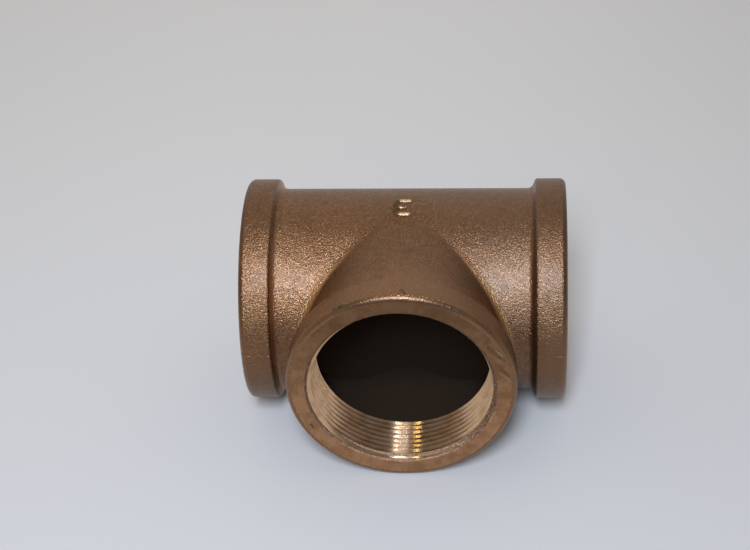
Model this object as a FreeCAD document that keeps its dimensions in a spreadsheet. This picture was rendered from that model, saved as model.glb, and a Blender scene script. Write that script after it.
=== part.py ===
import FreeCAD, Part
import math
import os

import Sketcher

# Straight pipe tee for three-inch taper threads, cast in bronze as one piece.
# The run lies along X, the branch opens towards -Y and +Z is up.
# The origin is where the axes of the three ports cross. Lengths are in millimetres.

SIZES = {
    # Ports, bored after casting
    "port_radius": 41.7,  # bored radius of a port, at the crests of its thread
    "port_depth": 25.2,  # face of a port to the inner end of its bore
    "mouth_flare": 3.7,  # widening of the countersink from the bore to the face
    "mouth_depth": 3.7,  # depth of the countersink
    # Waterway, left by the core
    "core_step": 3.5,  # step outwards from a port's bore to the run's waterway
    "relief_run": 2.6,  # length along the axis that this step slopes over
    "core_edge_radius": 2.5,  # rounding of the ridge where the two waterways meet
    # Outside of the casting
    "wall": 4.5,  # thickness of the casting round the waterway
    "neck_step": 0.7,  # how much slimmer the branch is than the run, in radius
    "saddle_radius": 6.0,  # fillet of the saddle between the branch and the run
    "flank": 6.6,  # bare length of the run from the saddle's foot to the shoulder's foot
    # Band round each port
    "band_wall": 12.8,  # thickness of the band outside the bore
    "band_width": 14.6,  # face of the port to the crest of the band's shoulder
    "shoulder_run": 2.0,  # length along the axis that the shoulder slopes over
    "shoulder_foot_radius": 3.0,  # fillet where a shoulder meets the body or the neck
    "shoulder_edge_radius": 1.5,  # rounding of the shoulder's crest
    "face_edge_radius": 3.0,  # rounding of the band's edge at the face
}

doc = FreeCAD.newDocument("pipe_tee")
sheet = doc.addObject("Spreadsheet::Sheet", "sizes")
for row, (alias, value) in enumerate(SIZES.items(), 1):
    sheet.set(f"A{row}", alias.replace("_", " "))
    sheet.set(f"B{row}", str(value))
    sheet.setAlias(f"B{row}", alias)
doc.recompute()

body = doc.addObject("PartDesign::Body", "tee_casting")
body.Label = "tee_casting"


def length(expression):
    """What an expression of the sheet's sizes comes to, in millimetres."""
    return float(sheet.evalExpression(expression))


def plane(role):
    """The origin plane of the body that has this role."""
    for feature in body.Origin.OriginFeatures:
        if feature.Role == role:
            return feature


def profile(name, role, corners):
    """A closed sketch whose corners are pairs of expressions: along the axis, and out from it."""
    sketch = body.newObject("Sketcher::SketchObject", name)
    sketch.AttachmentSupport = [(plane(role), "")]
    sketch.MapMode = "FlatFace"
    points = []
    for along, out in corners:
        points.append(FreeCAD.Vector(length(along), length(out), 0))
    count = len(points)
    for i in range(count):
        sketch.addGeometry(Part.LineSegment(points[i], points[(i + 1) % count]), False)
    for i in range(count):
        sketch.addConstraint(Sketcher.Constraint("Coincident", i, 2, (i + 1) % count, 1))
    for i, (along, out) in enumerate(corners):
        hold(sketch, "DistanceX", i, points[i].x, along)
        hold(sketch, "DistanceY", i, points[i].y, out)
    return sketch


def hold(sketch, kind, line, value, expression):
    """Ties the start of a line to the origin at a distance that an expression drives."""
    if expression == "0":
        axis = -2 if kind == "DistanceX" else -1
        sketch.addConstraint(Sketcher.Constraint("PointOnObject", line, 1, axis))
        return
    if value > 0:
        index = sketch.addConstraint(Sketcher.Constraint(kind, -1, 1, line, 1, value))
        sketch.setExpression(f"Constraints[{index}]", expression)
    else:
        index = sketch.addConstraint(Sketcher.Constraint(kind, line, 1, -1, 1, -value))
        sketch.setExpression(f"Constraints[{index}]", f"-({expression})")


def turned(kind, name, sketch):
    """A Revolution or a Groove of the sketch about its horizontal axis."""
    feature = body.newObject(kind, name)
    feature.Profile = sketch
    feature.ReferenceAxis = (sketch, ["H_Axis"])
    feature.Angle = 360
    doc.recompute()
    return feature


def rounded(name, radius, belongs):
    """A Fillet of every edge of the tip for which belongs(edge) is true. Its radius is an expression."""
    base = body.Tip
    edges = []
    for i, edge in enumerate(base.Shape.Edges, 1):
        if belongs(edge):
            edges.append(f"Edge{i}")
    print(name, "edges", len(edges))
    fillet = body.newObject("PartDesign::Fillet", name)
    fillet.Base = (base, edges)
    fillet.setExpression("Radius", radius)
    doc.recompute()
    return fillet


def ring(edge, reach, radius):
    """True for a circle of this radius whose centre is this far out along a port's axis."""
    if not isinstance(edge.Curve, Part.Circle):
        return False
    centre = edge.Curve.Center
    near = abs(centre.Length - reach) < 0.01
    return near and abs(edge.Curve.Radius - radius) < 0.01


def crossing(edge, run, branch):
    """True for an edge that lies on the run's cylinder and on the branch's cylinder."""
    for i in range(5):
        at = edge.FirstParameter + (i + 0.5) / 5 * (edge.LastParameter - edge.FirstParameter)
        p = edge.valueAt(at)
        if abs(math.hypot(p.y, p.z) - run) > 0.01:
            return False
        if abs(math.hypot(p.x, p.z) - branch) > 0.01:
            return False
    return True


# Radii about a port's axis
RUN_CORE = "(sizes.port_radius + sizes.core_step)"
RUN_BODY = f"({RUN_CORE} + sizes.wall)"
NECK = f"({RUN_BODY} - sizes.neck_step)"
BRANCH_CORE = f"({NECK} - sizes.wall)"
BAND = "(sizes.port_radius + sizes.band_wall)"
MOUTH = "(sizes.port_radius + sizes.mouth_flare)"

# Places along a port's axis, counted out from the crossing: the neck, its saddle and the bare flank
# have to fit between the branch's axis and the foot of the run's shoulder
FOOT = f"({NECK} + sizes.saddle_radius + sizes.flank)"
CREST = f"({FOOT} + sizes.shoulder_run)"
FACE = f"({CREST} + sizes.band_width)"
MOUTH_END = f"({FACE} - sizes.mouth_depth)"
PORT_END = f"({FACE} - sizes.port_depth)"
CORE_END = f"({PORT_END} - sizes.relief_run)"

# The run: a body between two bands with sloping shoulders
run_outside = profile("run_outside", "XZ_Plane", [
    (f"-{FACE}", "0"),
    (f"-{FACE}", BAND),
    (f"-{CREST}", BAND),
    (f"-{FOOT}", RUN_BODY),
    (FOOT, RUN_BODY),
    (CREST, BAND),
    (FACE, BAND),
    (FACE, "0"),
])
turned("PartDesign::Revolution", "run", run_outside)

# The branch: a neck out of the run's side and the third band
branch_outside = profile("branch_outside", "YZ_Plane", [
    ("0", "0"),
    ("0", NECK),
    (f"-{FOOT}", NECK),
    (f"-{CREST}", BAND),
    (f"-{FACE}", BAND),
    (f"-{FACE}", "0"),
])
turned("PartDesign::Revolution", "branch", branch_outside)

# Saddle: the fillet that the pattern carries round the foot of the branch
run_radius = length(RUN_BODY)
neck_radius = length(NECK)
rounded("saddle", "sizes.saddle_radius", lambda e: crossing(e, run_radius, neck_radius))

# Feet and crests of the shoulders, and the edges at the faces
foot = length(FOOT)
crest = length(CREST)
face = length(FACE)
band = length(BAND)


def is_foot(edge):
    return ring(edge, foot, run_radius) or ring(edge, foot, neck_radius)


rounded("shoulder_feet", "sizes.shoulder_foot_radius", is_foot)
rounded("shoulder_crests", "sizes.shoulder_edge_radius", lambda e: ring(e, crest, band))
rounded("face_edges", "sizes.face_edge_radius", lambda e: ring(e, face, band))

# The run's waterway, with a bored port and a countersunk mouth at each end
run_inside = profile("run_inside", "XZ_Plane", [
    (f"-{FACE}", "0"),
    (f"-{FACE}", MOUTH),
    (f"-{MOUTH_END}", "sizes.port_radius"),
    (f"-{PORT_END}", "sizes.port_radius"),
    (f"-{CORE_END}", RUN_CORE),
    (CORE_END, RUN_CORE),
    (PORT_END, "sizes.port_radius"),
    (MOUTH_END, "sizes.port_radius"),
    (FACE, MOUTH),
    (FACE, "0"),
])
turned("PartDesign::Groove", "run_waterway", run_inside)

# The branch's waterway, port and mouth
branch_inside = profile("branch_inside", "YZ_Plane", [
    ("0", "0"),
    ("0", BRANCH_CORE),
    (f"-{CORE_END}", BRANCH_CORE),
    (f"-{PORT_END}", "sizes.port_radius"),
    (f"-{MOUTH_END}", "sizes.port_radius"),
    (f"-{FACE}", MOUTH),
    (f"-{FACE}", "0"),
])
turned("PartDesign::Groove", "branch_waterway", branch_inside)

# Rounded ridge inside, where the two parts of the core were joined. Its fillet ends before the relief.
run_core = length(RUN_CORE)
branch_core = length(BRANCH_CORE)
ridge_radius = f"min(sizes.core_edge_radius; 0.8 * ({CORE_END} - {RUN_CORE}))"
rounded("core_ridge", ridge_radius, lambda e: crossing(e, run_core, branch_core))

# Every object has to be sound before anything is written
doc.recompute()
for thing in doc.Objects:
    if "Invalid" in thing.State or "Error" in thing.State:
        raise RuntimeError(f"{thing.Name} failed: {thing.State}")
shape = body.Shape
if shape.isNull() or not shape.isValid() or len(shape.Solids) != 1:
    raise RuntimeError(f"{body.Label} is not one sound solid")

os.makedirs("parts", exist_ok=True)
shape.exportStep(f"parts/{body.Label}.step")
box = shape.optimalBoundingBox()
print(body.Label, "volume", round(shape.Volume), "mm3, faces", len(shape.Faces))
print("size", round(box.XLength, 2), round(box.YLength, 2), round(box.ZLength, 2))
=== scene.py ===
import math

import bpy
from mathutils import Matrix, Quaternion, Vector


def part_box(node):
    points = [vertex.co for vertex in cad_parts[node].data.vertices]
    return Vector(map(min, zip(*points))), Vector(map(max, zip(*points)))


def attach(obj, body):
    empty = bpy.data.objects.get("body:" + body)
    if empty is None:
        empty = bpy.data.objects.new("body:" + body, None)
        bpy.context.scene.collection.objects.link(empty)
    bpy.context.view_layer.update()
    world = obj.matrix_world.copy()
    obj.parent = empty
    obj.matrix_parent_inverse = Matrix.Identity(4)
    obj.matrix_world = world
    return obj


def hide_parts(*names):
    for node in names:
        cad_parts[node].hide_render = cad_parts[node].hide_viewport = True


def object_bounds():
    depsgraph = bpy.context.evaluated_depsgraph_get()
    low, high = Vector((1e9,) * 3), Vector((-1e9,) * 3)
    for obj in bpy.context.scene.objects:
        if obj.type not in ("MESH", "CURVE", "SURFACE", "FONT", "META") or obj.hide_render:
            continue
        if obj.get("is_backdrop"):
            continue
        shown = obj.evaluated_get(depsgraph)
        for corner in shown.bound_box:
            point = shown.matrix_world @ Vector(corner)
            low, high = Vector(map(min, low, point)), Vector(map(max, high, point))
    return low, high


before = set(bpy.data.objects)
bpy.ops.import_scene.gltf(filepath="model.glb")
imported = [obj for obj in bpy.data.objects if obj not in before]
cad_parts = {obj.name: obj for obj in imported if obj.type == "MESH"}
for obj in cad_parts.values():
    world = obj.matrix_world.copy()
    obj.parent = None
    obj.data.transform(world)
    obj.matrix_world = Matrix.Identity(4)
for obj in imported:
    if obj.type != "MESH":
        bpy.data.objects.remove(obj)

# %% [markdown]
# # A bronze pipe tee
# One sand casting joins a straight run of pipe to a branch at right angles. Each of its three ports
# carries a thick band, and inside the band a taper thread is cut for a three-inch pipe.
# The solid of the casting comes from CAD and is already true in size, with its bands, its saddle and its
# waterway. This file adds what a foundry and a lathe leave on it: the threads, the raised size numeral,
# the grain of the sand, the brown skin of old bronze and the bright metal of the cuts.
# Lengths are written in millimetres and multiplied by MM, because the scene is in metres.

MM = 0.001
cad_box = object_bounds()
low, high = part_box("tee_casting")
FACE = high.x
print("tee", [round(c / MM, 1) for c in high - low], "mm, face of a port at", round(FACE / MM, 2))

# %% [markdown]
# ## The casting
# The whole tee is one piece of metal, so it stays one mesh. It could be built again from cylinders, but
# the saddle between branch and run is hard to get right by hand and CAD has it exactly. So a copy of
# the solid's mesh is taken. Its triangles are loose, and they are merged first, because a boolean cut
# and smooth shading both need faces that share their corners.

# %% Weld a copy of the casting
def only(piece):
    """Deselects everything else and makes this piece the active one."""
    bpy.ops.object.select_all(action="DESELECT")
    piece.select_set(True)
    bpy.context.view_layer.objects.active = piece


def edit_all(piece):
    """Goes into edit mode with the whole mesh selected."""
    only(piece)
    bpy.ops.object.mode_set(mode="EDIT")
    bpy.ops.mesh.select_all(action="SELECT")


tee = bpy.data.objects.new("bronze_tee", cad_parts["tee_casting"].data.copy())
bpy.context.scene.collection.objects.link(tee)
tee.data.materials.clear()
edit_all(tee)
bpy.ops.mesh.remove_doubles(threshold=0.002 * MM)
bpy.ops.object.mode_set(mode="OBJECT")
bpy.ops.mesh.customdata_custom_splitnormals_clear()
print("casting", len(tee.data.vertices), "corners", len(tee.data.polygons), "faces")

# %% [markdown]
# ## The threads
# A fitter's tap cuts the thread, so the scene makes a tap as well and cuts with it. The other way, a
# thread modelled straight into each port, would need the same tooth three times over.
# First the tooth of one pitch is drawn, eight to the inch: a single corner is extruded along crest,
# flank and root, with tiny slopes between them that stand for the rounding of a worn tool.

# %% Draw one tooth of the tap
PITCH = 25.4 / 8 * MM
PORT_DEPTH = 25.2 * MM
BORE_INNER = 41.75 * MM
TAPER = 1 / 32
TURNS = 10
TAP_LENGTH = (TURNS + 1) * PITCH
TAP_MIDDLE = TAP_LENGTH / 2 - 1.5 * PITCH
BORE_MIDDLE = BORE_INNER + (PORT_DEPTH - TAP_MIDDLE) * TAPER
TOOTH_HEIGHT = 2.1 * MM
FLANK_ANGLE = math.radians(30)
CREST_FLAT = 0.06 * MM
ROUND_RISE = 0.03 * MM
ROUND_RUN = 0.05 * MM
FLANK_RISE = TOOTH_HEIGHT - 2 * ROUND_RISE
FLANK_RUN = FLANK_RISE * math.tan(FLANK_ANGLE)
ROOT_FLAT = PITCH - CREST_FLAT - 2 * FLANK_RUN - 4 * ROUND_RUN
TOOTH = (
    (0.0, CREST_FLAT),
    (ROUND_RISE, ROUND_RUN),
    (FLANK_RISE, FLANK_RUN),
    (ROUND_RISE, ROUND_RUN),
    (0.0, ROOT_FLAT),
    (-ROUND_RISE, ROUND_RUN),
    (-FLANK_RISE, FLANK_RUN),
    (-ROUND_RISE, ROUND_RUN),
)


def corner_at(name, place):
    """A mesh of one corner at this place, left in edit mode, ready to be extruded into a line."""
    bpy.ops.object.select_all(action="DESELECT")
    bpy.ops.mesh.primitive_plane_add(size=1 * MM)
    piece = bpy.context.object
    piece.name = name
    bpy.ops.object.mode_set(mode="EDIT")
    bpy.ops.mesh.select_all(action="SELECT")
    bpy.ops.mesh.merge(type="CENTER")
    bpy.ops.transform.translate(value=place)
    return piece


tap = corner_at("taper_tap", (BORE_MIDDLE, 0, -TAP_LENGTH / 2))
for out, along in TOOTH:
    bpy.ops.mesh.extrude_region_move(TRANSFORM_OT_translate={"value": (out, 0, along)})
bpy.ops.object.mode_set(mode="OBJECT")
print("tooth", round(TOOTH_HEIGHT / MM, 2), "mm high, root", round(ROOT_FLAT / MM, 2), "mm wide")

# %% [markdown]
# A Screw modifier winds the tooth up into the tap. Then a Simple Deform modifier narrows it by one in
# sixteen of its diameter, which is the taper that makes such a joint tight.

# %% Wind it up and taper it
winding = tap.modifiers.new("winding", "SCREW")
winding.axis = "Z"
winding.angle = math.tau
winding.screw_offset = PITCH
winding.iterations = TURNS
winding.steps = winding.render_steps = 144
bpy.ops.object.modifier_apply(modifier="winding")
edit_all(tap)
bpy.ops.mesh.remove_doubles(threshold=0.01 * MM)
bpy.ops.object.mode_set(mode="OBJECT")

taper = tap.modifiers.new("taper", "SIMPLE_DEFORM")
taper.deform_method = "TAPER"
taper.deform_axis = "Z"
taper.factor = -TAP_LENGTH * TAPER / BORE_MIDDLE
bpy.ops.object.modifier_apply(modifier="taper")
print("tap", len(tap.data.polygons), "faces")

# %% [markdown]
# The tap is still an open coil. A boolean cut needs a closed tool, so the open edge at each end is
# extruded and drawn together into a fan.

# %% Close both ends of the tap
def close_end(piece, side):
    """Draws the open edge on one side of the middle together into a fan."""
    only(piece)
    bpy.ops.object.mode_set(mode="EDIT")
    bpy.ops.mesh.select_mode(type="EDGE")
    bpy.ops.mesh.select_all(action="DESELECT")
    bpy.ops.mesh.select_non_manifold(extend=False)
    bpy.ops.object.mode_set(mode="OBJECT")
    corners = piece.data.vertices
    for edge in piece.data.edges:
        height = corners[edge.vertices[0]].co.z + corners[edge.vertices[1]].co.z
        edge.select = edge.select and height * side > 0
    bpy.ops.object.mode_set(mode="EDIT")
    bpy.ops.mesh.extrude_region_move(TRANSFORM_OT_translate={"value": (0, 0, 0)})
    bpy.ops.mesh.merge(type="CENTER")
    bpy.ops.mesh.select_mode(type="VERT")
    bpy.ops.object.mode_set(mode="OBJECT")


close_end(tap, -1)
close_end(tap, 1)
edit_all(tap)
bpy.ops.mesh.normals_make_consistent(inside=False)
bpy.ops.mesh.select_all(action="DESELECT")
bpy.ops.mesh.select_non_manifold(extend=False)
bpy.ops.object.mode_set(mode="OBJECT")
print("open edges of the tap", sum(e.select for e in tap.data.edges))

# %% [markdown]
# One tap serves all three ports. It is set into each of them with its narrow end inwards and taken away
# from the casting, as the real one takes away its chips.

# %% Cut the three ports
def boolean(piece, tool, operation):
    """Applies an exact boolean of the tool to the piece."""
    only(piece)
    step = piece.modifiers.new("boolean", "BOOLEAN")
    step.operation = operation
    step.solver = "EXACT"
    step.object = tool
    bpy.ops.object.modifier_apply(modifier="boolean")


reach = FACE - TAP_MIDDLE
QUARTER = math.radians(90)
PORTS = {
    "left": (Vector((-1, 0, 0)), (0, QUARTER, 0)),
    "right": (Vector((1, 0, 0)), (0, -QUARTER, 0)),
    "branch": (Vector((0, -1, 0)), (-QUARTER, 0, 0)),
}
for port, (outwards, turn) in PORTS.items():
    tap.location = outwards * reach
    tap.rotation_euler = turn
    bpy.context.view_layer.update()
    boolean(tee, tap, "DIFFERENCE")
    print(port, "port cut,", len(tee.data.polygons), "faces")
bpy.data.objects.remove(tap)

# %% [markdown]
# ## The size numeral
# A plain 3 stands proud on top of the run, the pipe size in inches, cast upside down to someone who
# looks into the branch. A letter cut by hand into the pattern has round soft strokes. A font would give
# it flat sides and sharp edges, so the stroke is drawn instead: bar, bowl, short bar, bowl, bar. As a
# curve with a round bevel it becomes a bent rod with closed ends.

# %% Draw the numeral
RUN_RADIUS = 49.7 * MM
BRANCH_RADIUS = 49.0 * MM
NUMERAL_HEIGHT = 13.6 * MM
NUMERAL_WIDTH = 9.0 * MM
NUMERAL_X = -1.4 * MM
NUMERAL_Y = -0.6 * MM
STROKE_RADIUS = 1.4 * MM
BOWL_RADIUS = (NUMERAL_HEIGHT / 2 - STROKE_RADIUS) / 2
BOWL_STEPS = 14
BAR = NUMERAL_WIDTH - 2 * STROKE_RADIUS - BOWL_RADIUS


def bowl(middle):
    """Points round one bowl of the numeral, from its top to its bottom."""
    points = []
    for i in range(BOWL_STEPS + 1):
        turn = math.pi * (0.5 - i / BOWL_STEPS)
        points.append(Vector((BOWL_RADIUS * math.cos(turn), middle + BOWL_RADIUS * math.sin(turn), 0)))
    return points


stroke = [Vector((-BAR, 2 * BOWL_RADIUS, 0))] + bowl(BOWL_RADIUS) + [Vector((-BAR / 2, 0, 0))]
stroke += bowl(-BOWL_RADIUS) + [Vector((-BAR, -2 * BOWL_RADIUS, 0))]
numeral = corner_at("size_numeral", stroke[0])
for here, there in zip(stroke, stroke[1:]):
    bpy.ops.mesh.extrude_region_move(TRANSFORM_OT_translate={"value": there - here})
bpy.ops.object.mode_set(mode="OBJECT")
bpy.ops.object.convert(target="CURVE")
numeral = bpy.context.object
numeral.data.bevel_depth = STROKE_RADIUS
numeral.data.bevel_resolution = 4
numeral.data.use_fill_caps = True
bpy.ops.object.convert(target="MESH")
numeral = bpy.context.object
print("numeral stroke", len(stroke), "points,", len(numeral.data.polygons), "faces")

# %% [markdown]
# The rod runs into itself where the two bowls meet, which spoils a boolean. A voxel remesh makes it one
# clean skin, and a little smoothing softens it like cast metal. Then every corner is moved along the
# arc of the run, which wraps the numeral round the pipe, and a union joins it to the casting.

# %% Raise it on the run
SUNK = 0.5 * MM


def stretch(piece, size):
    """Centres a mesh on the origin and scales it to this size."""
    corners = [v.co.copy() for v in piece.data.vertices]
    least = Vector([min(c[i] for c in corners) for i in range(3)])
    most = Vector([max(c[i] for c in corners) for i in range(3)])
    middle = [(least[i] + most[i]) / 2 for i in range(3)]
    for vertex, corner in zip(piece.data.vertices, corners):
        vertex.co = [(corner[i] - middle[i]) / (most[i] - least[i]) * size[i] for i in range(3)]


only(numeral)
numeral.data.remesh_voxel_size = 0.16 * MM
bpy.ops.object.voxel_remesh()
edit_all(numeral)
bpy.ops.mesh.vertices_smooth(factor=0.5, repeat=5)
bpy.ops.object.mode_set(mode="OBJECT")
stretch(numeral, (NUMERAL_WIDTH, NUMERAL_HEIGHT, 2 * STROKE_RADIUS))
for vertex in numeral.data.vertices:
    right, up, proud = vertex.co
    radius = RUN_RADIUS + proud - SUNK
    angle = (NUMERAL_Y - up) / RUN_RADIUS
    vertex.co = (NUMERAL_X - right, radius * math.sin(angle), radius * math.cos(angle))
boolean(tee, numeral, "UNION")
bpy.data.objects.remove(numeral)
print("with the numeral", len(tee.data.polygons), "faces")

# %% [markdown]
# ## Shading and zones
# Smooth shading follows the angle between faces, so the fillets look round and the thread keeps its
# edges. Each face then gets the finish of the surface that it lies on: the cast skin outside, the cored
# skin inside, the faced ring at each port, and the cut thread with its countersink. Place and
# direction are enough to tell them apart, so no face has to be picked by hand.

# %% Shade by angle and sort the faces by finish
CORE_START = FACE - PORT_DEPTH - 1.2 * MM
MOUTH_DEPTH = 3.9 * MM
THREAD_RADIUS = 45.5 * MM
RUN_CORE = 45.6 * MM
BRANCH_CORE = 45.0 * MM
RUN_CORE_ONLY = 44 * MM
COUNTERSINK_SLOPE = math.cos(math.radians(45))
ZONES = ("cast", "cored", "faced", "countersunk", "threaded_run", "threaded_branch")


def zone_of(face):
    """The finish of a face, by its place and the way that it points."""
    c, n = face.center, face.normal
    along_run, along_branch = abs(c.x), -c.y
    from_run, from_branch = math.hypot(c.y, c.z), math.hypot(c.x, c.z)
    if along_branch > along_run:
        thread, depth, radius, outwards = "threaded_branch", FACE - along_branch, from_branch, -n.y
    else:
        thread, depth, radius, outwards = "threaded_run", FACE - along_run, from_run, abs(n.x)
    if depth < 0.02 * MM and outwards > 0.99:
        return "faced"
    if depth < MOUTH_DEPTH and radius < THREAD_RADIUS and abs(outwards - COUNTERSINK_SLOPE) < 0.12:
        return "countersunk"
    if depth < FACE - CORE_START and radius < THREAD_RADIUS:
        return thread
    if from_run < RUN_CORE and (c.y > 0 or abs(c.x) > RUN_CORE_ONLY):
        return "cored"
    if c.y <= 0 and (from_run < RUN_CORE or from_branch < BRANCH_CORE):
        return "cored"
    return "cast"


only(tee)
bpy.ops.object.shade_smooth_by_angle(angle=math.radians(28))
counts = dict.fromkeys(ZONES, 0)
for face in tee.data.polygons:
    zone = zone_of(face)
    face.material_index = ZONES.index(zone)
    counts[zone] += 1
print("faces by finish", counts)

# %% [markdown]
# ## Finishes
# Old bronze is a metal under a thin brown skin. Each finish is one Principled shader whose colour,
# roughness and bump come from patterns on the Object coordinates, so they follow the metal in any
# light. An image texture could do it too, but it would need unwrapping and has only one sharpness.
# A few helpers come first, because a node written out in full takes three or four lines.

# %% Helpers that add and feed nodes
def add(tree, kind, **settings):
    """Adds a node of this kind to a tree and gives it these settings."""
    node = tree.nodes.new(kind)
    for key, value in settings.items():
        setattr(node, key, value)
    return node


def feed(tree, node, **inputs):
    """Sets or links inputs of a node, by name with underscores for spaces, or by number as in n0."""
    for key, value in inputs.items():
        numbered = key[0] == "n" and key[1:].isdigit()
        socket = node.inputs[int(key[1:]) if numbered else key.replace("_", " ")]
        if isinstance(value, bpy.types.NodeSocket):
            tree.links.new(value, socket)
        else:
            socket.default_value = value
    return node


def new_group(name, inputs, outputs):
    """A shader node group with these named inputs, kinds and defaults, and these outputs."""
    tree = bpy.data.node_groups.new(name, "ShaderNodeTree")
    for socket, (kind, value) in inputs.items():
        item = tree.interface.new_socket(socket, in_out="INPUT", socket_type=kind)
        if value is not None:
            item.default_value = value
    for socket, kind in outputs.items():
        tree.interface.new_socket(socket, in_out="OUTPUT", socket_type=kind)
    return tree, add(tree, "NodeGroupInput"), add(tree, "NodeGroupOutput")


def placed(tree, group, **inputs):
    """Places a group in a tree and feeds its inputs."""
    return feed(tree, add(tree, "ShaderNodeGroup", node_tree=group), **inputs)


print("helpers for single nodes and groups are ready")

# %% [markdown]
# The next helpers are the words in which the finishes are written. A mask is a value from 0 to 1 that
# says where something lies. Masks are multiplied to narrow them down, and a colour is laid over
# another one through a mask.

# %% Helpers for masks, colours and bumps
def maths(tree, operation, first, second=0.0):
    """The result of one Math node."""
    node = feed(tree, add(tree, "ShaderNodeMath", operation=operation), n0=first, n1=second)
    return node.outputs[0]


def times(tree, first, *others):
    """The product of masks and values."""
    for other in others:
        first = maths(tree, "MULTIPLY", first, other)
    return first


def smooth_step(tree, value, start, end, low=0.0, high=1.0):
    """Goes softly from low to high while the value goes from start to end."""
    node = add(tree, "ShaderNodeMapRange", interpolation_type="SMOOTHSTEP")
    feed(tree, node, Value=value, From_Min=start, From_Max=end, To_Min=low, To_Max=high)
    return node.outputs["Result"]


def noise(tree, where, scale, detail=2.0, roughness=0.5):
    """Soft random unevenness; the scale counts its bumps in a metre."""
    node = add(tree, "ShaderNodeTexNoise")
    feed(tree, node, Vector=where, Scale=scale, Detail=detail, Roughness=roughness)
    return node.outputs["Fac"]


def mixed(tree, share, first, second, kind="MIX"):
    """Goes from the first colour to the second by a share."""
    node = add(tree, "ShaderNodeMix", data_type="RGBA", blend_type=kind)
    feed(tree, node, n0=share, n6=first, n7=second)
    return node.outputs[2]


def laid(tree, colour, mask, strength, paint):
    """Lays a paint over a colour where the mask says, at this strength."""
    return mixed(tree, times(tree, mask, strength), colour, paint)


def bump(tree, height, distance, strength=1.0, normal=None):
    """Tilts the surface by a height; a normal from an earlier bump is kept and added to."""
    node = feed(tree, add(tree, "ShaderNodeBump"), Height=height, Distance=distance, Strength=strength)
    if normal is not None:
        feed(tree, node, Normal=normal)
    return node.outputs["Normal"]


def coordinates(tree, place):
    """The three coordinates of a place."""
    split = feed(tree, add(tree, "ShaderNodeSeparateXYZ"), n0=place)
    return [split.outputs[i] for i in range(3)]


def off_axis(tree, first, second):
    """How far a place lies from an axis, from its two coordinates across that axis."""
    squares = maths(tree, "ADD", times(tree, first, first), times(tree, second, second))
    return maths(tree, "SQRT", squares)


print("helpers for masks, colours and bumps are ready")

# %% [markdown]
# ### The grain of the sand
# Molten bronze takes the print of the sand: round grains of about half a millimetre over a slower
# unevenness. Cells of a Voronoi texture, softened by noise, look like packed grains. A second, wider
# noise makes patches where the skin is smoother, as where the sand was rammed harder. The outside,
# the core's skin and the torn countersink all need it, each with its own size of grain, so it is a
# group that is built once.

# %% The sand grain group
sand, way_in, way_out = new_group(
    "sand_grain",
    {"Vector": ("NodeSocketVector", None), "Grain": ("NodeSocketFloat", 0.8)},
    {"Height": "NodeSocketFloat", "Swell": "NodeSocketFloat", "Patches": "NodeSocketFloat"},
)
where = way_in.outputs["Vector"]
per_metre = maths(sand, "DIVIDE", 1000.0, way_in.outputs["Grain"])
fine = noise(sand, where, per_metre, 3.0, 0.6)
coarse = noise(sand, where, times(sand, per_metre, 0.42), 1.0, 0.5)
pits = add(sand, "ShaderNodeTexVoronoi", feature="SMOOTH_F1")
feed(sand, pits, Vector=where, Scale=times(sand, per_metre, 0.9), Smoothness=0.6)
grain = maths(sand, "ADD", times(sand, fine, 0.6), times(sand, coarse, 0.35))
grain = maths(sand, "SUBTRACT", grain, times(sand, pits.outputs["Distance"], 0.45))
sand.links.new(grain, way_out.inputs["Height"])
sand.links.new(noise(sand, where, 90.0, 2.0), way_out.inputs["Swell"])
sand.links.new(smooth_step(sand, noise(sand, where, 28.0, 3.0), 0.35, 0.65), way_out.inputs["Patches"])
print("sand grain group", len(sand.nodes), "nodes")

# %% [markdown]
# ### The place within a port
# Marks of the lathe are rings about the axis of a port, and wear sits at a certain depth. This group
# gives the depth below the nearest face and the radius about that port's axis, in millimetres.

# %% The port group
port_place, way_in, way_out = new_group(
    "port_place",
    {"Vector": ("NodeSocketVector", None)},
    {"Depth": "NodeSocketFloat", "Radius": "NodeSocketFloat"},
)
x, y, z = coordinates(port_place, way_in.outputs["Vector"])
run_depth = maths(port_place, "SUBTRACT", FACE, maths(port_place, "ABSOLUTE", x))
branch_depth = maths(port_place, "ADD", FACE, y)
in_branch = maths(port_place, "LESS_THAN", branch_depth, run_depth)
radius = add(port_place, "ShaderNodeMix", data_type="FLOAT")
feed(port_place, radius, n0=in_branch, n2=off_axis(port_place, y, z), n3=off_axis(port_place, x, z))
depth = maths(port_place, "MINIMUM", run_depth, branch_depth)
port_place.links.new(maths(port_place, "DIVIDE", depth, MM), way_out.inputs["Depth"])
port_place.links.new(maths(port_place, "DIVIDE", radius.outputs[0], MM), way_out.inputs["Radius"])
print("port group", len(port_place.nodes), "nodes")

# %% [markdown]
# ### Marks of use
# Verdigris, scuffs and scratches lie at places of their own. Each is a short line on the surface, so one
# group gives a mask round the line from Start to End that noise makes ragged. A spot is a line whose
# ends nearly meet. The places are points on the casting, in metres.

# %% The mark group
mark, way_in, way_out = new_group(
    "mark",
    {
        "Vector": ("NodeSocketVector", None),
        "Start": ("NodeSocketVector", None),
        "End": ("NodeSocketVector", None),
        "Width": ("NodeSocketFloat", 0.001),
        "Ragged": ("NodeSocketFloat", 0.5),
    },
    {"Mask": "NodeSocketFloat"},
)


def vector_maths(tree, operation, first, second):
    """One Vector Math node, fed with two vectors."""
    return feed(tree, add(tree, "ShaderNodeVectorMath", operation=operation), n0=first, n1=second)


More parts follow.
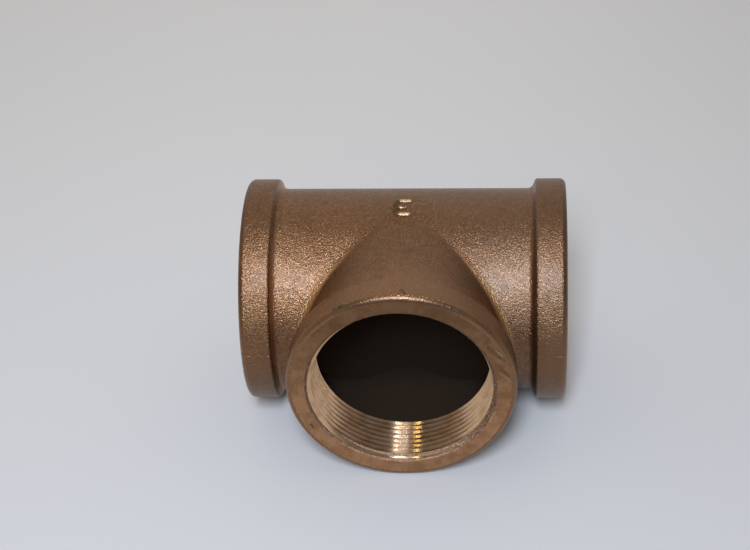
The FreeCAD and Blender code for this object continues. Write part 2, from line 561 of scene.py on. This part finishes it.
place, start, end = (way_in.outputs[name] for name in ("Vector", "Start", "End"))
along = vector_maths(mark, "SUBTRACT", end, start).outputs["Vector"]
offset = vector_maths(mark, "SUBTRACT", place, start).outputs["Vector"]
length_squared = vector_maths(mark, "DOT_PRODUCT", along, along).outputs["Value"]
share = vector_maths(mark, "DOT_PRODUCT", offset, along).outputs["Value"]
share = maths(mark, "DIVIDE", share, length_squared)
share = maths(mark, "MINIMUM", maths(mark, "MAXIMUM", share, 0.0), 1.0)
nearest = feed(mark, add(mark, "ShaderNodeVectorMath", operation="SCALE"), n0=along, Scale=share)
gap = vector_maths(mark, "DISTANCE", offset, nearest.outputs["Vector"]).outputs["Value"]
gap = maths(mark, "DIVIDE", gap, way_in.outputs["Width"])
rag = maths(mark, "SUBTRACT", noise(mark, place, 1300.0, 3.0, 0.65), 0.5)
gap = maths(mark, "ADD", gap, times(mark, rag, times(mark, way_in.outputs["Ragged"], 4.0)))
mark.links.new(smooth_step(mark, gap, 0.1, 1.0, 1.0, 0.0), way_out.inputs["Mask"])
print("mark group", len(mark.nodes), "nodes")

# %% [markdown]
# ### The cast skin
# Most of the tee is bare sand-cast skin. It is brown, in patches that differ a little, with thin blotches
# of a darker film. The hollows between the grains stay dark, and the tops of the grains are paler,
# where hands and other fittings have rubbed them. It is a full metal, because the highlights of
# bronze are tinted, with a weak coat over it for the whiter shine of the film.

# %% Cast bronze: the browns
def new_finish(name, **constants):
    """A material with a Principled shader; constants are set on the shader's own sockets."""
    finish = bpy.data.materials.new(name)
    finish.use_nodes = True
    tree = finish.node_tree
    shader = tree.nodes["Principled BSDF"]
    feed(tree, shader, **constants)
    where = add(tree, "ShaderNodeTexCoord").outputs["Object"]
    return finish, tree, shader, where


BROWN = (0.205, 0.097, 0.043, 1)
REDDER_BROWN = (0.248, 0.118, 0.052, 1)
OLIVE_BROWN = (0.178, 0.098, 0.050, 1)
FILM = (0.125, 0.062, 0.030, 1)
GRAIN_HOLLOW = (0.075, 0.034, 0.014, 1)
GRAIN_TOP = (0.50, 0.34, 0.225, 1)
RIGHT_HALF_PAINTED_SHADE = (0.15, 0.10, 0.075, 1)

cast, tree, shader, where = new_finish("cast_bronze", Metallic=1.0, Coat_Weight=0.12, Coat_Roughness=0.34)
grain = placed(tree, sand, Vector=where, Grain=0.62)
height = grain.outputs["Height"]
x, y, z = coordinates(tree, where)
brown = mixed(tree, grain.outputs["Patches"], BROWN, REDDER_BROWN)
blotch = smooth_step(tree, noise(tree, where, 240.0, 3.0, 0.6), 0.40, 0.66)
brown = laid(tree, brown, blotch, 0.30, FILM)
brown = laid(tree, brown, smooth_step(tree, height, 0.32, 0.17), 0.28, GRAIN_HOLLOW)
brown = mixed(tree, smooth_step(tree, noise(tree, where, 17.0, 3.0, 0.6), 0.45, 0.75), brown, OLIVE_BROWN)
brown = laid(tree, brown, smooth_step(tree, height, 0.22, 0.50), 0.32, GRAIN_TOP)
# Painted shade: the right half of the casting is painted darker and greyer.
brown = mixed(tree, smooth_step(tree, x, 0.0, 0.03, 0.0, 0.22), brown, RIGHT_HALF_PAINTED_SHADE)
print("cast bronze, browns", len(tree.nodes), "nodes")

# %% [markdown]
# Some places of the casting get a colour of their own. Each gets a mask from its coordinates.
# The saddle is painted yellow and bright, a painted highlight where the fillet turns towards the lamp.
# The numeral's closed side is dark, and its three bars are bright with a painted highlight.

# %% Cast bronze: the saddle and the numeral
SADDLE_PAINTED_HIGHLIGHT = (0.52, 0.29, 0.12, 1)
NUMERAL_DARK = (0.080, 0.040, 0.018, 1)
NUMERAL_BAR_HIGHLIGHT = (0.66, 0.43, 0.25, 1)

side_x = maths(tree, "ABSOLUTE", x)
side_y = maths(tree, "ABSOLUTE", y)
from_run = off_axis(tree, y, z)
from_branch = off_axis(tree, x, z)
port_here = placed(tree, port_place, Vector=where)
port_depth, port_radius = port_here.outputs["Depth"], port_here.outputs["Radius"]

saddle = times(
    tree,
    smooth_step(tree, from_run, RUN_RADIUS + 0.1 * MM, RUN_RADIUS + 0.7 * MM),
    smooth_step(tree, from_branch, BRANCH_RADIUS + 0.1 * MM, BRANCH_RADIUS + 0.7 * MM),
    maths(tree, "GREATER_THAN", port_depth, 18.0),
)
numeral_skin = times(
    tree,
    smooth_step(tree, from_run, RUN_RADIUS + 0.2 * MM, RUN_RADIUS + 0.6 * MM),
    maths(tree, "LESS_THAN", side_x, NUMERAL_WIDTH * 0.7),
    maths(tree, "LESS_THAN", side_y, NUMERAL_HEIGHT * 0.6),
    maths(tree, "GREATER_THAN", z, 0.97 * RUN_RADIUS),
)
bars = times(tree, numeral_skin, smooth_step(tree, x, NUMERAL_X - 1.6 * MM, NUMERAL_X - 0.4 * MM))
# Painted highlight: the saddle's fillet is painted yellow and brighter.
brown = laid(tree, brown, saddle, 0.6, SADDLE_PAINTED_HIGHLIGHT)
brown = laid(tree, brown, numeral_skin, 0.9, NUMERAL_DARK)
# Painted highlight: the three bars of the numeral are painted bright.
brown = laid(tree, brown, bars, 0.85, NUMERAL_BAR_HIGHLIGHT)
print("cast bronze, saddle and numeral", len(tree.nodes), "nodes")

# %% [markdown]
# The branch was handled most, so its neck and band are paler, and the run's bands stay duller. The
# upper edge of each face is painted darker, painted shade that tones down its bright line, and the foot
# of the left shoulder is painted brighter, a painted reflection of the lit flank next to it.

# %% Cast bronze: the bands
NECK_BROWN = (0.32, 0.165, 0.080, 1)
BAND_BROWN = (0.10, 0.052, 0.022, 1)
RIM_PAINTED_SHADE = (0.080, 0.044, 0.024, 1)
SHOULDER_PAINTED_REFLECTION = (0.56, 0.33, 0.19, 1)

run_bands = times(
    tree,
    smooth_step(tree, port_radius, 53.0, 54.2),
    maths(tree, "GREATER_THAN", side_x, BRANCH_RADIUS + 8 * MM),
)
rim = smooth_step(tree, port_depth, 1.3, 2.4, 1.0, 0.0)
upper_rim = times(tree, rim, smooth_step(tree, z, 0.041, 0.051))
left_shoulder_reflection = times(
    tree,
    smooth_step(tree, port_depth, 14.4, 15.4),
    smooth_step(tree, port_depth, 16.2, 18.4, 1.0, 0.0),
    smooth_step(tree, side_y, 0.012, 0.036),
    smooth_step(tree, x, -0.055, -0.058),
    smooth_step(tree, port_radius, 52.0, 54.4, 1.0, 0.0),
)
brown = laid(tree, brown, smooth_step(tree, y, -0.044, -0.056), 0.4, NECK_BROWN)
brown = laid(tree, brown, run_bands, 0.25, BAND_BROWN)
# Painted shade: the upper edge of each face is painted darker, which dims its highlight.
brown = laid(tree, brown, upper_rim, 0.72, RIM_PAINTED_SHADE)
# Painted reflection: the foot of the left shoulder is painted bright, for the lit flank that it mirrors.
brown = laid(tree, brown, left_shoulder_reflection, 0.85, SHOULDER_PAINTED_REFLECTION)
print("cast bronze, bands", len(tree.nodes), "nodes")

# %% [markdown]
# Damp has left green verdigris at the top of the branch's band and a few dark stains on the saddle and
# the run. They are lines of the mark group, given by their ends in millimetres, width and strength.

# %% Cast bronze: stains and verdigris
DARK_STAIN = (0.10, 0.065, 0.040, 1)
VERDIGRIS = (0.016, 0.060, 0.042, 1)


def marked(tree, where, colour, stain, marks):
    """Lays a stain over a colour at each mark: start and end in millimetres, width and strength."""
    for start, end, width, strength in marks:
        ends = {"Start": Vector(start) * MM, "End": Vector(end) * MM}
        line = placed(tree, mark, Vector=where, Width=width * MM, **ends)
        colour = laid(tree, colour, line.outputs["Mask"], strength, stain)
    return colour


brown = marked(tree, where, brown, DARK_STAIN, [
    ((3.1, -36.4, 48.9), (4.5, -34.9, 48.8), 3.0, 0.45),
    ((-8.5, -54.8, 48.2), (-11.0, -53.6, 47.7), 3.0, 0.4),
    ((-38.6, 4.2, 49.5), (-38.0, 3.2, 49.6), 1.6, 0.7),
    ((-33.0, -3.2, 49.6), (-33.2, -5.4, 49.4), 2.0, 0.45),
])
brown = marked(tree, where, brown, VERDIGRIS, [
    ((-29.5, -75.6, 45.4), (-28.6, -75.8, 46.0), 1.2, 0.7),
    ((-26.8, -76.2, 47.2), (-25.6, -76.4, 47.8), 1.5, 0.8),
    ((1.8, -72.6, 54.5), (3.3, -75.3, 54.3), 1.0, 0.8),
    ((4.8, 5.2, 49.5), (6.4, 5.0, 49.5), 0.9, 0.5),
])
print("cast bronze, stains", len(tree.nodes), "nodes")

# %% [markdown]
# The relief comes last, as three bumps, each on top of the one before. A slow swell keeps the walls from
# looking turned. A faint broken seam along the middle shows where the two halves of the mould met.
# The grain makes each lit grain sparkle on the flanks, and it fades at the rim, where it is worn off.
# The tops of the grains are smoother than the hollows.

# %% Cast bronze: seam, grain and gloss
seam = smooth_step(tree, maths(tree, "ABSOLUTE", z), 0.15 * MM, 0.55 * MM, 1.0, 0.0)
seam = times(tree, seam, smooth_step(tree, noise(tree, where, 260.0, 2.0), 0.4, 0.6))
worn_grain = times(tree, height, maths(tree, "SUBTRACT", 1.0, times(tree, rim, 0.65)))
tilt = bump(tree, grain.outputs["Swell"], 0.6 * MM, 0.5)
tilt = bump(tree, seam, 0.15 * MM, 1.0, tilt)
tilt = bump(tree, worn_grain, 0.47 * MM, 1.0, tilt)
rough = smooth_step(tree, height, 0.15, 0.55, 0.37, 0.25)
rough = maths(tree, "ADD", rough, times(tree, bars, 0.12))
feed(tree, shader, Base_Color=brown, Roughness=rough, Normal=tilt)
print("cast bronze", len(tree.nodes), "nodes")

# %% [markdown]
# ### The cored skin
# Inside, the metal met a baked sand core. Its skin is dark, rougher than the outside, and never
# rubbed. The colours are written nearly black, painted shade for the hollow, because a hollow gathers
# light that bounces from wall to wall. The bottom is painted paler, a painted pool of the light that
# comes in through the mouth.

# %% Cored bronze
# Painted shade: the core colours are far darker than the skin, for the dark of the hollow.
CORE_BLACK = (0.0042, 0.0025, 0.0014, 1)
CORE_BROWN = (0.0066, 0.0040, 0.0024, 1)
PAINTED_CAVITY_LIGHT = (0.030, 0.019, 0.012, 1)

cored, tree, shader, where = new_finish("cored_bronze", Metallic=0.4, Specular_IOR_Level=0.05)
grain = placed(tree, sand, Vector=where, Grain=1.1)
dark = mixed(tree, grain.outputs["Patches"], CORE_BLACK, CORE_BROWN)
x, y, z = coordinates(tree, where)
# Painted light: paler towards the bottom, where light comes in through the mouth.
dark = mixed(tree, smooth_step(tree, z, -0.012, -0.034), dark, PAINTED_CAVITY_LIGHT)
tilt = bump(tree, grain.outputs["Height"], 0.3 * MM)
feed(tree, shader, Base_Color=dark, Roughness=0.75, Normal=tilt)
print("cored bronze", len(tree.nodes), "nodes")

# %% [markdown]
# ### The faced rings
# The end of each band was turned flat and then browned like the rest, so only faint rings are left. The
# brown is mottled, and duller towards the top. On the right of the branch's face a few scuffs and
# scratches show bare metal.

# %% Faced bronze
FACE_BROWN = (0.33, 0.165, 0.080, 1)
FACE_GOLD = (0.46, 0.248, 0.130, 1)
DUSK = (0.36, 0.36, 0.34, 1)
SCUFF = (0.060, 0.038, 0.025, 1)
BARE = (0.62, 0.42, 0.26, 1)

faced, tree, shader, where = new_finish("faced_bronze", Metallic=1.0)
port = placed(tree, port_place, Vector=where)
ring_line = feed(tree, add(tree, "ShaderNodeCombineXYZ"), n0=port.outputs["Radius"])
rings = noise(tree, ring_line.outputs[0], 2.2, 3.0, 0.6)
mottle = noise(tree, where, 150.0, 5.0, 0.68)
brown = mixed(tree, smooth_step(tree, mottle, 0.35, 0.65), FACE_BROWN, FACE_GOLD)
x, y, z = coordinates(tree, where)
brown = mixed(tree, smooth_step(tree, z, -0.035, 0.05, 0.0, 0.88), brown, DUSK, "MULTIPLY")
brown = marked(tree, where, brown, SCUFF, [
    ((41.2, -78.2, 25.0), (46.0, -78.2, 19.4), 1.6, 0.40),
    ((46.0, -78.2, 19.4), (52.5, -78.2, 14.6), 1.1, 0.55),
    ((45.0, -78.2, 15.2), (48.5, -78.2, 10.6), 1.5, 0.30),
    ((48.5, -78.2, 10.6), (53.2, -78.2, 5.6), 1.1, 0.50),
    ((-43.6, -78.2, -21.8), (-42.6, -78.2, -24.0), 0.6, 0.9),
])
brown = marked(tree, where, brown, BARE, [
    ((41.0, -78.2, -20.2), (44.2, -78.2, -13.4), 0.5, 0.7),
    ((44.4, -78.2, 23.6), (50.6, -78.2, 16.8), 0.5, 0.35),
    ((46.5, -78.2, 9.8), (52.0, -78.2, 4.4), 0.5, 0.30),
])
turned = maths(tree, "ADD", times(tree, rings, 0.5), mottle)
feed(tree, shader, Base_Color=brown, Roughness=0.44, Normal=bump(tree, turned, 0.16 * MM))
print("faced bronze", len(tree.nodes), "nodes")

# %% [markdown]
# ### The countersink
# The mouth of each port was opened with a coarse cutter that tore the metal. The sand grain group does
# for the torn grain as well: bare metal on its tops, brown in its hollows, under a strong bump.

# %% Countersunk bronze
TORN_HOLLOW = (0.22, 0.12, 0.066, 1)
TORN_TOP = (0.52, 0.34, 0.22, 1)

countersunk, tree, shader, where = new_finish("countersunk_bronze", Metallic=1.0)
grain = placed(tree, sand, Vector=where, Grain=0.6)
height = grain.outputs["Height"]
gold = mixed(tree, smooth_step(tree, height, 0.2, 0.5), TORN_HOLLOW, TORN_TOP)
feed(tree, shader, Base_Color=gold, Roughness=0.50, Normal=bump(tree, height, 0.6 * MM))
print("countersunk bronze", len(tree.nodes), "nodes")

# %% [markdown]
# ### The cut thread
# The tap leaves clean yellow metal, a little darker in stains of old oil. Its cut runs round the port in
# very fine lines, and such lines spread a reflection across themselves. So a lamp shows as a tall narrow
# streak. Anisotropy does that: the tangent goes round the axis, and a quarter turn lays the long
# side of the highlight along the axis. The lines themselves are a bump of eight microns only, because
# a deeper one breaks the streak into spots.

# %% Threaded bronze
THREAD_GOLD = (0.64, 0.41, 0.24, 1)
OILED_GOLD = (0.50, 0.29, 0.14, 1)


def thread_finish(name, axis):
    """The cut metal of a thread about this axis."""
    finish, tree, shader, where = new_finish(
        name, Metallic=0.92, Roughness=0.14, Anisotropic=0.985, Anisotropic_Rotation=0.25)
    round_axis = add(tree, "ShaderNodeTangent", direction_type="RADIAL", axis=axis)
    port = placed(tree, port_place, Vector=where)
    line = add(tree, "ShaderNodeCombineXYZ")
    feed(tree, line, n0=port.outputs["Radius"], n1=port.outputs["Depth"])
    cut_lines = noise(tree, line.outputs[0], 5.0, 3.0, 0.6)
    stain = smooth_step(tree, noise(tree, where, 160.0, 3.0, 0.6), 0.4, 0.7)
    gold = mixed(tree, stain, THREAD_GOLD, OILED_GOLD)
    tilt = bump(tree, cut_lines, 0.008 * MM)
    feed(tree, shader, Base_Color=gold, Normal=tilt, Tangent=round_axis.outputs[0])
    return finish


threaded_run = thread_finish("threaded_bronze_run", "X")
threaded_branch = thread_finish("threaded_bronze_branch", "Y")

for finish in (cast, cored, faced, countersunk, threaded_run, threaded_branch):
    tee.data.materials.append(finish)
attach(tee, "root")
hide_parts("tee_casting")
print("finishes", [m.name for m in tee.data.materials])

# %% [markdown]
# ## Floor, light and camera
# The tee lies on a pale seamless floor, whose colour carries painted light and shade: a little brighter
# and creamier at the back, and painted darker to the sides. It is a plain plane, so wide that its edge
# is far away, and nearly matt, as paper is.

# %% Floor
FLOOR = low.z
NEAR_FLOOR = (0.490, 0.464, 0.440, 1)
FAR_FLOOR = (0.528, 0.486, 0.436, 1)

bpy.ops.object.select_all(action="DESELECT")
bpy.ops.mesh.primitive_plane_add(size=6.0, location=(0, 0, FLOOR))
floor = bpy.context.object
floor.name = "floor"
paper, tree, shader, where = new_finish("pale_floor", Roughness=0.9, Specular_IOR_Level=0.2)
x, y, z = coordinates(tree, where)
# Painted light: the floor is brighter and creamier towards the back.
pale = mixed(tree, smooth_step(tree, y, -0.25, 0.45), NEAR_FLOOR, FAR_FLOOR)
# Painted shade: the floor is darker towards the right and the far left.
painted_shade_right = smooth_step(tree, x, -0.05, 0.40, 1.0, 0.80)
painted_shade_left = smooth_step(tree, x, -0.6, -0.1, 0.86, 1.0)
pale = mixed(tree, 1.0, pale, times(tree, painted_shade_right, painted_shade_left), "MULTIPLY")
feed(tree, shader, Base_Color=pale)
floor.data.materials.append(paper)
floor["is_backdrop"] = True
print("floor at", round(FLOOR / MM, 2), "mm")

# %% [markdown]
# A bright room lights the tee softly. It is a world whose light grows towards the back and the top, so
# that the run's top and the branch's upper side catch a sheen while the front stays calm.
# In front stand three lamps. A big soft one, high up, puts the broad highlight with its sparkle on the
# flanks. Two narrow strips, lower down, are the white and the yellow streak on the thread.

# %% Room light
ROOM = (1.0, 0.94, 0.87, 1)
BRIGHT_SIDE = (-0.2, 1.0, 0.6)

world = bpy.data.worlds.new("room")
bpy.context.scene.world = world
world.use_nodes = True
tree = world.node_tree
direction = add(tree, "ShaderNodeTexCoord").outputs["Generated"]
facing = vector_maths(tree, "DOT_PRODUCT", direction, BRIGHT_SIDE).outputs["Value"]
brightness = smooth_step(tree, facing, -0.8, 1.3, 0.14, 0.76)
feed(tree, tree.nodes["Background"], Color=ROOM, Strength=brightness)
print("room light from 0.14 to 0.76")

# %% Lamps
def lamp(name, azimuth, elevation, distance, size, power, colour):
    """An area lamp aimed at the tee. Azimuth 0 stands in front of the branch, 90 on the right."""
    a, e = math.radians(azimuth), math.radians(elevation)
    back = Vector((math.sin(a) * math.cos(e), -math.cos(a) * math.cos(e), math.sin(e)))
    data = bpy.data.lights.new(name, "AREA")
    data.shape = "RECTANGLE"
    data.size, data.size_y = size
    data.energy = power
    data.color = colour
    holder = bpy.data.objects.new(name, data)
    bpy.context.scene.collection.objects.link(holder)
    holder.location = back * distance
    holder.rotation_mode = "QUATERNION"
    holder.rotation_quaternion = (-back).to_track_quat("-Z", "Y")
    print("lamp", name, power, "W")


lamp("front", -1.5, 47, 2.6, (0.5, 0.98), 78.0, (0.84, 1.0, 1.26))
lamp("front_strip", 1.3, 28, 2.0, (0.04, 0.8), 1.1, (0.75, 0.95, 1.25))
lamp("front_warm", -12.8, 28, 2.0, (0.05, 0.8), 1.7, (1.0, 0.90, 0.45))

# %% [markdown]
# The camera looks down into the branch from a metre away, through a long lens. From closer by, the
# near band would swell. It is rolled by three degrees, as a camera held by hand is.

# %% Camera
CAMERA_AT = Vector((52.6, -794.0, 605.7)) * MM
AIM = Vector((-16.3, 3.0, 5.9)) * MM
ROLL = math.radians(-3.0)
LENS = 96.2

lens = bpy.data.cameras.new("camera")
lens.sensor_width = 36.0
lens.lens = LENS
lens.clip_start = 0.01
camera = bpy.data.objects.new("camera", lens)
bpy.context.scene.collection.objects.link(camera)
camera.location = CAMERA_AT
camera.rotation_mode = "QUATERNION"
level = (AIM - CAMERA_AT).to_track_quat("-Z", "Y")
camera.rotation_quaternion = level @ Quaternion((0, 0, 1), ROLL)
bpy.context.scene.camera = camera
bpy.context.scene.view_settings.view_transform = "Standard"
print("camera", round((AIM - CAMERA_AT).length / MM), "mm from the tee")

# %% [markdown]
# ## Finish
# The box of what is seen is printed beside the box of the CAD solid.

# %% Keep the two boxes and finish
seen_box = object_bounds()
sizes = {"cad": [list(c) for c in cad_box], "visual": [list(c) for c in seen_box]}
print("CAD box", sizes["cad"], "visual box", sizes["visual"])
